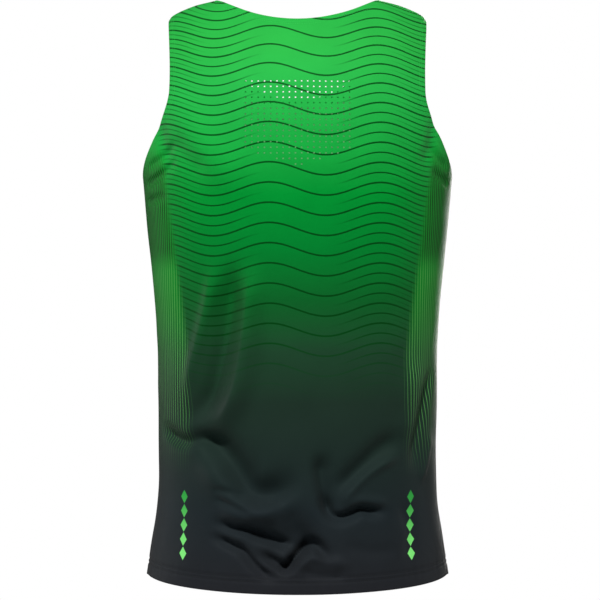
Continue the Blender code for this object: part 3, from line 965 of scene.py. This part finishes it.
# Thread spun from polyester staple and dyed near the print's colour: dull, with a twist that shades it.
def spunPolyester(name, colours):
    material = bpy.data.materials.new(name)
    material.use_nodes = True
    tree = material.node_tree
    shader = tree.nodes["Principled BSDF"]
    place = addNode(tree, "ShaderNodeTexCoord").outputs["Object"]
    fibres = addNode(tree, "ShaderNodeTexNoise", {"Vector": place, "Scale": thread["twists"], "Detail": 2.0})
    dark, pale = colours
    tint = addNode(tree, mixNode, {0: fibres, 6: linear(dark), 7: linear(pale)}, data_type="RGBA")
    twist = addNode(tree, "ShaderNodeBump", {"Height": fibres, "Strength": thread["twistStrength"],
                                             "Distance": thread["twistRelief"]})
    tree.links.new(tint.outputs[2], shader.inputs["Base Color"])
    tree.links.new(twist.outputs[0], shader.inputs["Normal"])
    shader.inputs["Roughness"].default_value = thread["roughness"]
    shader.inputs["Specular IOR Level"].default_value = thread["specular"]
    return material


# One stitch of thread, modelled lying along X and as long as one shows.
def stitchForm():
    clearSelection()
    bpy.ops.mesh.primitive_uv_sphere_add(segments=sewing["threadSides"], ring_count=sewing["threadRings"],
                                         radius=0.5, rotation=(0, math.radians(90), 0))
    bpy.ops.object.transform_apply(location=False, rotation=True, scale=False)
    bpy.ops.transform.resize(value=(sewing["length"], sewing["threadWidth"], sewing["threadHeight"]))
    bpy.ops.object.transform_apply(location=False, rotation=False, scale=True)
    form = bpy.context.object
    corners = np.array([tuple(vertex.co) for vertex in form.data.vertices])
    faces = sorted(tuple(face.vertices) for face in form.data.polygons)     # Blender's order varies
    bpy.ops.object.delete()
    return corners, faces


# The middles, ways and normals of the stitches of a row that runs some way in from a panel's edge.
def stitchPlaces(side, run, inset):
    ((line, upright),), _ = insetRun(side, run, (inset,))
    reach = np.concatenate([[0], np.cumsum(np.linalg.norm(np.diff(line, axis=0), axis=1))])
    count = int(reach[-1] // sewing["pitch"])
    middles = (np.arange(count) + 0.5) * reach[-1] / count
    places = [[np.interp(middles, reach, values[:, axis]) for axis in range(3)]
              for values in (line, np.gradient(line, axis=0), upright)]
    middle, way, normal = [np.array(values).T for values in places]
    return middle, unit(way), unit(normal)


def sewStitches(name, runs, insets, material):
    corners, formFaces = stitchForm()
    places, faces = [], []
    for side, run in runs:
        for inset in insets:
            for middle, way, normal in zip(*stitchPlaces(side, run, inset)):
                first = len(places)
                beside = np.cross(normal, way)
                places.extend(middle + corners @ np.array([way, beside, normal]))
                faces.extend([first + corner for corner in face] for face in formFaces)
    mesh = bpy.data.meshes.new(name)
    mesh.from_pydata([tuple(place) for place in places], [], faces)
    mesh.materials.append(material)
    piece = bpy.data.objects.new(name, mesh)
    scene.collection.objects.link(piece)
    activate(piece)
    bpy.ops.object.shade_smooth()
    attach(piece, "root")
    print(name, "has", sum(len(face) - 2 for face in faces), "triangles")


knitFaces = (sublimatedInterlock(), interlockWrongSide())
for side in panels:
    piece = makeCloth(side)
    for material in knitFaces:
        piece.data.materials.append(material)
    activate(piece)
    if side == "back":
        cutVents(piece)
    finishCloth(piece)
    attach(piece, "root")
    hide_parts(f"{side}_panel")
    print(side, "cloth has", sum(len(face.vertices) - 2 for face in piece.data.polygons), "triangles")

seams = {
    # name: its thread's material and colours, the panels' runs it sews, rows
    "hem_stitching": ("spunPolyesterBlack", ("#050607", "#14171a"), ("hem",), sewing["hem"]),
    "neck_stitching": ("spunPolyesterGreen", ("#149137", "#35c455"), ("neck",), sewing["neck"]),
    "armhole_stitching": ("spunPolyesterDeepGreen", ("#0f8a33", "#2fb84c"), ("leftArmhole", "rightArmhole"),
                          sewing["armholes"]),
}
for name, (material, colours, runNames, insets) in seams.items():
    runs = [(side, boundaryRuns(side)[runName][0]) for side in panels for runName in runNames]
    sewStitches(name, runs, insets, spunPolyester(material, colours))
